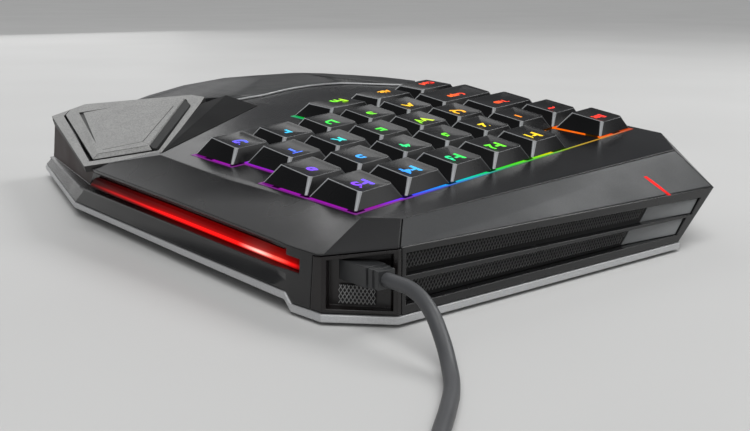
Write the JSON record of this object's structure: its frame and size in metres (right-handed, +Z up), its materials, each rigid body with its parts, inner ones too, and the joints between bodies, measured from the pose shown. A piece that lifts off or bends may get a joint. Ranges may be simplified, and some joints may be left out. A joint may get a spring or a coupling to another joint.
{
  "type": "gaming keypad",
  "caption": "One-hand gaming keypad with lit keys, a domed palm rest, a thumb key, side light bar, rear grilles and a cable with its plug.",
  "frame": {"origin": "middle of the keypad's foot, under the feet, without the cable", "axes": "+X to the user's right, +Y to the rear edge where the cable leaves, +Z up"},
  "size_m": [0.2541, 0.417, 0.0426],
  "materials": {
    "shell": "satin",
    "base": "matte",
    "silver": "satin",
    "grey_panel": "fine sparkle grain",
    "chamfer": "satin",
    "cap": "satin with clear lettering",
    "palm": "finely dotted",
    "light": "lit diffuser",
    "rubber": "matte",
    "silicone": "matte",
    "film": "smooth",
    "steel": "brushed",
    "board": "lacquered",
    "mesh": "perforated"
  },
  "bodies": {
    "housing": {"top_cover": "shell", "bottom_shell": "base", "base_band": "silver", "rear_plate": "chamfer", "rear_grille": "mesh", "indicator_light": "light", "cable_bay": "shell", "bay_grille": "mesh", "side_light_bar": "light", "thumb_frame": "grey_panel", "thumb_facet": "shell", "thumb_dome": "silicone", "palm_rest": "palm", "palm_rim": "silver", "key_frame": "base", "dome_sheet": "silicone", "membrane_circuit": "film", "backing_plate": "steel", "controller_board": "board", "foot_1": "rubber", "foot_2": "rubber", "foot_3": "rubber", "foot_4": "rubber", "strain_relief": "rubber", "cable_run": "rubber", "cable_coil": "rubber", "cable_tail": "rubber", "cable_tie": "rubber", "plug_body": "rubber", "plug_shell": "silver"},
    "thumb": {"thumb_key": "grey_panel", "thumb_key_grip": "rubber"},
    "key_1_1": {"keycap_row1_1": "cap"},
    "key_1_2": {"keycap_row1_2": "cap"},
    "key_1_3": {"keycap_row1_3": "cap"},
    "key_1_4": {"keycap_row1_4": "cap"},
    "key_1_5": {"keycap_row1_5": "cap"},
    "key_1_6": {"keycap_row1_6": "cap"},
    "key_2_1": {"keycap_row2_1": "cap"},
    "key_2_2": {"keycap_row2_2": "cap"},
    "key_2_3": {"keycap_row2_3": "cap"},
    "key_2_4": {"keycap_row2_4": "cap"},
    "key_2_5": {"keycap_row2_5": "cap"},
    "key_2_6": {"keycap_row2_6": "cap"},
    "key_2_7": {"keycap_row2_7": "cap"},
    "key_3_1": {"keycap_row3_1": "cap"},
    "key_3_2": {"keycap_row3_2": "cap"},
    "key_3_3": {"keycap_row3_3": "cap"},
    "key_3_4": {"keycap_row3_4": "cap"},
    "key_3_5": {"keycap_row3_5": "cap"},
    "key_3_6": {"keycap_row3_6": "cap"},
    "key_4_1": {"keycap_row4_1": "cap"},
    "key_4_2": {"keycap_row4_2": "cap"},
    "key_4_3": {"keycap_row4_3": "cap"},
    "key_4_4": {"keycap_row4_4": "cap"},
    "key_4_5": {"keycap_row4_5": "cap"},
    "key_4_6": {"keycap_row4_6": "cap"},
    "key_5_1": {"keycap_row5_1": "cap"},
    "key_5_2": {"keycap_row5_2": "cap"},
    "key_5_3": {"keycap_row5_3": "cap"}
  },
  "joints": [
    {"name": "thumb_press", "type": "slide", "parent": "housing", "child": "thumb", "axis": [-0.2669, 0.043, -0.9628], "range_m": [0, 0.002], "stiffness_N_per_m": 400, "springref_m": -0.0008, "deforming": ["thumb_dome"]},
    {"name": "key_1_1_press", "type": "slide", "parent": "housing", "child": "key_1_1", "axis": [-0.0555, -0.0773, -0.9955], "range_m": [0, 0.0035], "stiffness_N_per_m": 150, "springref_m": -0.001, "deforming": ["dome_sheet"]},
    {"name": "key_1_2_press", "type": "slide", "parent": "housing", "child": "key_1_2", "axis": [-0.0555, -0.0773, -0.9955], "range_m": [0, 0.0035], "stiffness_N_per_m": 150, "springref_m": -0.001, "deforming": ["dome_sheet"]},
    {"name": "key_1_3_press", "type": "slide", "parent": "housing", "child": "key_1_3", "axis": [-0.0555, -0.0773, -0.9955], "range_m": [0, 0.0035], "stiffness_N_per_m": 150, "springref_m": -0.001, "deforming": ["dome_sheet"]},
    {"name": "key_1_4_press", "type": "slide", "parent": "housing", "child": "key_1_4", "axis": [-0.0555, -0.0773, -0.9955], "range_m": [0, 0.0035], "stiffness_N_per_m": 150, "springref_m": -0.001, "deforming": ["dome_sheet"]},
    {"name": "key_1_5_press", "type": "slide", "parent": "housing", "child": "key_1_5", "axis": [-0.0555, -0.0773, -0.9955], "range_m": [0, 0.0035], "stiffness_N_per_m": 150, "springref_m": -0.001, "deforming": ["dome_sheet"]},
    {"name": "key_1_6_press", "type": "slide", "parent": "housing", "child": "key_1_6", "axis": [-0.0555, -0.0773, -0.9955], "range_m": [0, 0.0035], "stiffness_N_per_m": 150, "springref_m": -0.001, "deforming": ["dome_sheet"]},
    {"name": "key_2_1_press", "type": "slide", "parent": "housing", "child": "key_2_1", "axis": [-0.0555, -0.0773, -0.9955], "range_m": [0, 0.0035], "stiffness_N_per_m": 150, "springref_m": -0.001, "deforming": ["dome_sheet"]},
    {"name": "key_2_2_press", "type": "slide", "parent": "housing", "child": "key_2_2", "axis": [-0.0555, -0.0773, -0.9955], "range_m": [0, 0.0035], "stiffness_N_per_m": 150, "springref_m": -0.001, "deforming": ["dome_sheet"]},
    {"name": "key_2_3_press", "type": "slide", "parent": "housing", "child": "key_2_3", "axis": [-0.0555, -0.0773, -0.9955], "range_m": [0, 0.0035], "stiffness_N_per_m": 150, "springref_m": -0.001, "deforming": ["dome_sheet"]},
    {"name": "key_2_4_press", "type": "slide", "parent": "housing", "child": "key_2_4", "axis": [-0.0555, -0.0773, -0.9955], "range_m": [0, 0.0035], "stiffness_N_per_m": 150, "springref_m": -0.001, "deforming": ["dome_sheet"]},
    {"name": "key_2_5_press", "type": "slide", "parent": "housing", "child": "key_2_5", "axis": [-0.0555, -0.0773, -0.9955], "range_m": [0, 0.0035], "stiffness_N_per_m": 150, "springref_m": -0.001, "deforming": ["dome_sheet"]},
    {"name": "key_2_6_press", "type": "slide", "parent": "housing", "child": "key_2_6", "axis": [-0.0555, -0.0773, -0.9955], "range_m": [0, 0.0035], "stiffness_N_per_m": 150, "springref_m": -0.001, "deforming": ["dome_sheet"]},
    {"name": "key_2_7_press", "type": "slide", "parent": "housing", "child": "key_2_7", "axis": [-0.0555, -0.0773, -0.9955], "range_m": [0, 0.0035], "stiffness_N_per_m": 150, "springref_m": -0.001, "deforming": ["dome_sheet"]},
    {"name": "key_3_1_press", "type": "slide", "parent": "housing", "child": "key_3_1", "axis": [-0.0555, -0.0773, -0.9955], "range_m": [0, 0.0035], "stiffness_N_per_m": 150, "springref_m": -0.001, "deforming": ["dome_sheet"]},
    {"name": "key_3_2_press", "type": "slide", "parent": "housing", "child": "key_3_2", "axis": [-0.0555, -0.0773, -0.9955], "range_m": [0, 0.0035], "stiffness_N_per_m": 150, "springref_m": -0.001, "deforming": ["dome_sheet"]},
    {"name": "key_3_3_press", "type": "slide", "parent": "housing", "child": "key_3_3", "axis": [-0.0555, -0.0773, -0.9955], "range_m": [0, 0.0035], "stiffness_N_per_m": 150, "springref_m": -0.001, "deforming": ["dome_sheet"]},
    {"name": "key_3_4_press", "type": "slide", "parent": "housing", "child": "key_3_4", "axis": [-0.0555, -0.0773, -0.9955], "range_m": [0, 0.0035], "stiffness_N_per_m": 150, "springref_m": -0.001, "deforming": ["dome_sheet"]},
    {"name": "key_3_5_press", "type": "slide", "parent": "housing", "child": "key_3_5", "axis": [-0.0555, -0.0773, -0.9955], "range_m": [0, 0.0035], "stiffness_N_per_m": 150, "springref_m": -0.001, "deforming": ["dome_sheet"]},
    {"name": "key_3_6_press", "type": "slide", "parent": "housing", "child": "key_3_6", "axis": [-0.0555, -0.0773, -0.9955], "range_m": [0, 0.0035], "stiffness_N_per_m": 150, "springref_m": -0.001, "deforming": ["dome_sheet"]},
    {"name": "key_4_1_press", "type": "slide", "parent": "housing", "child": "key_4_1", "axis": [-0.0555, -0.0773, -0.9955], "range_m": [0, 0.0035], "stiffness_N_per_m": 150, "springref_m": -0.001, "deforming": ["dome_sheet"]},
    {"name": "key_4_2_press", "type": "slide", "parent": "housing", "child": "key_4_2", "axis": [-0.0555, -0.0773, -0.9955], "range_m": [0, 0.0035], "stiffness_N_per_m": 150, "springref_m": -0.001, "deforming": ["dome_sheet"]},
    {"name": "key_4_3_press", "type": "slide", "parent": "housing", "child": "key_4_3", "axis": [-0.0555, -0.0773, -0.9955], "range_m": [0, 0.0035], "stiffness_N_per_m": 150, "springref_m": -0.001, "deforming": ["dome_sheet"]},
    {"name": "key_4_4_press", "type": "slide", "parent": "housing", "child": "key_4_4", "axis": [-0.0555, -0.0773, -0.9955], "range_m": [0, 0.0035], "stiffness_N_per_m": 150, "springref_m": -0.001, "deforming": ["dome_sheet"]},
    {"name": "key_4_5_press", "type": "slide", "parent": "housing", "child": "key_4_5", "axis": [-0.0555, -0.0773, -0.9955], "range_m": [0, 0.0035], "stiffness_N_per_m": 150, "springref_m": -0.001, "deforming": ["dome_sheet"]},
    {"name": "key_4_6_press", "type": "slide", "parent": "housing", "child": "key_4_6", "axis": [-0.0555, -0.0773, -0.9955], "range_m": [0, 0.0035], "stiffness_N_per_m": 150, "springref_m": -0.001, "deforming": ["dome_sheet"]},
    {"name": "key_5_1_press", "type": "slide", "parent": "housing", "child": "key_5_1", "axis": [-0.0555, -0.0773, -0.9955], "range_m": [0, 0.0035], "stiffness_N_per_m": 150, "springref_m": -0.001, "deforming": ["dome_sheet"]},
    {"name": "key_5_2_press", "type": "slide", "parent": "housing", "child": "key_5_2", "axis": [-0.0555, -0.0773, -0.9955], "range_m": [0, 0.0035], "stiffness_N_per_m": 150, "springref_m": -0.001, "deforming": ["dome_sheet"]},
    {"name": "key_5_3_press", "type": "slide", "parent": "housing", "child": "key_5_3", "axis": [-0.0555, -0.0773, -0.9955], "range_m": [0, 0.0035], "stiffness_N_per_m": 150, "springref_m": -0.001, "deforming": ["dome_sheet"]}
  ]
}
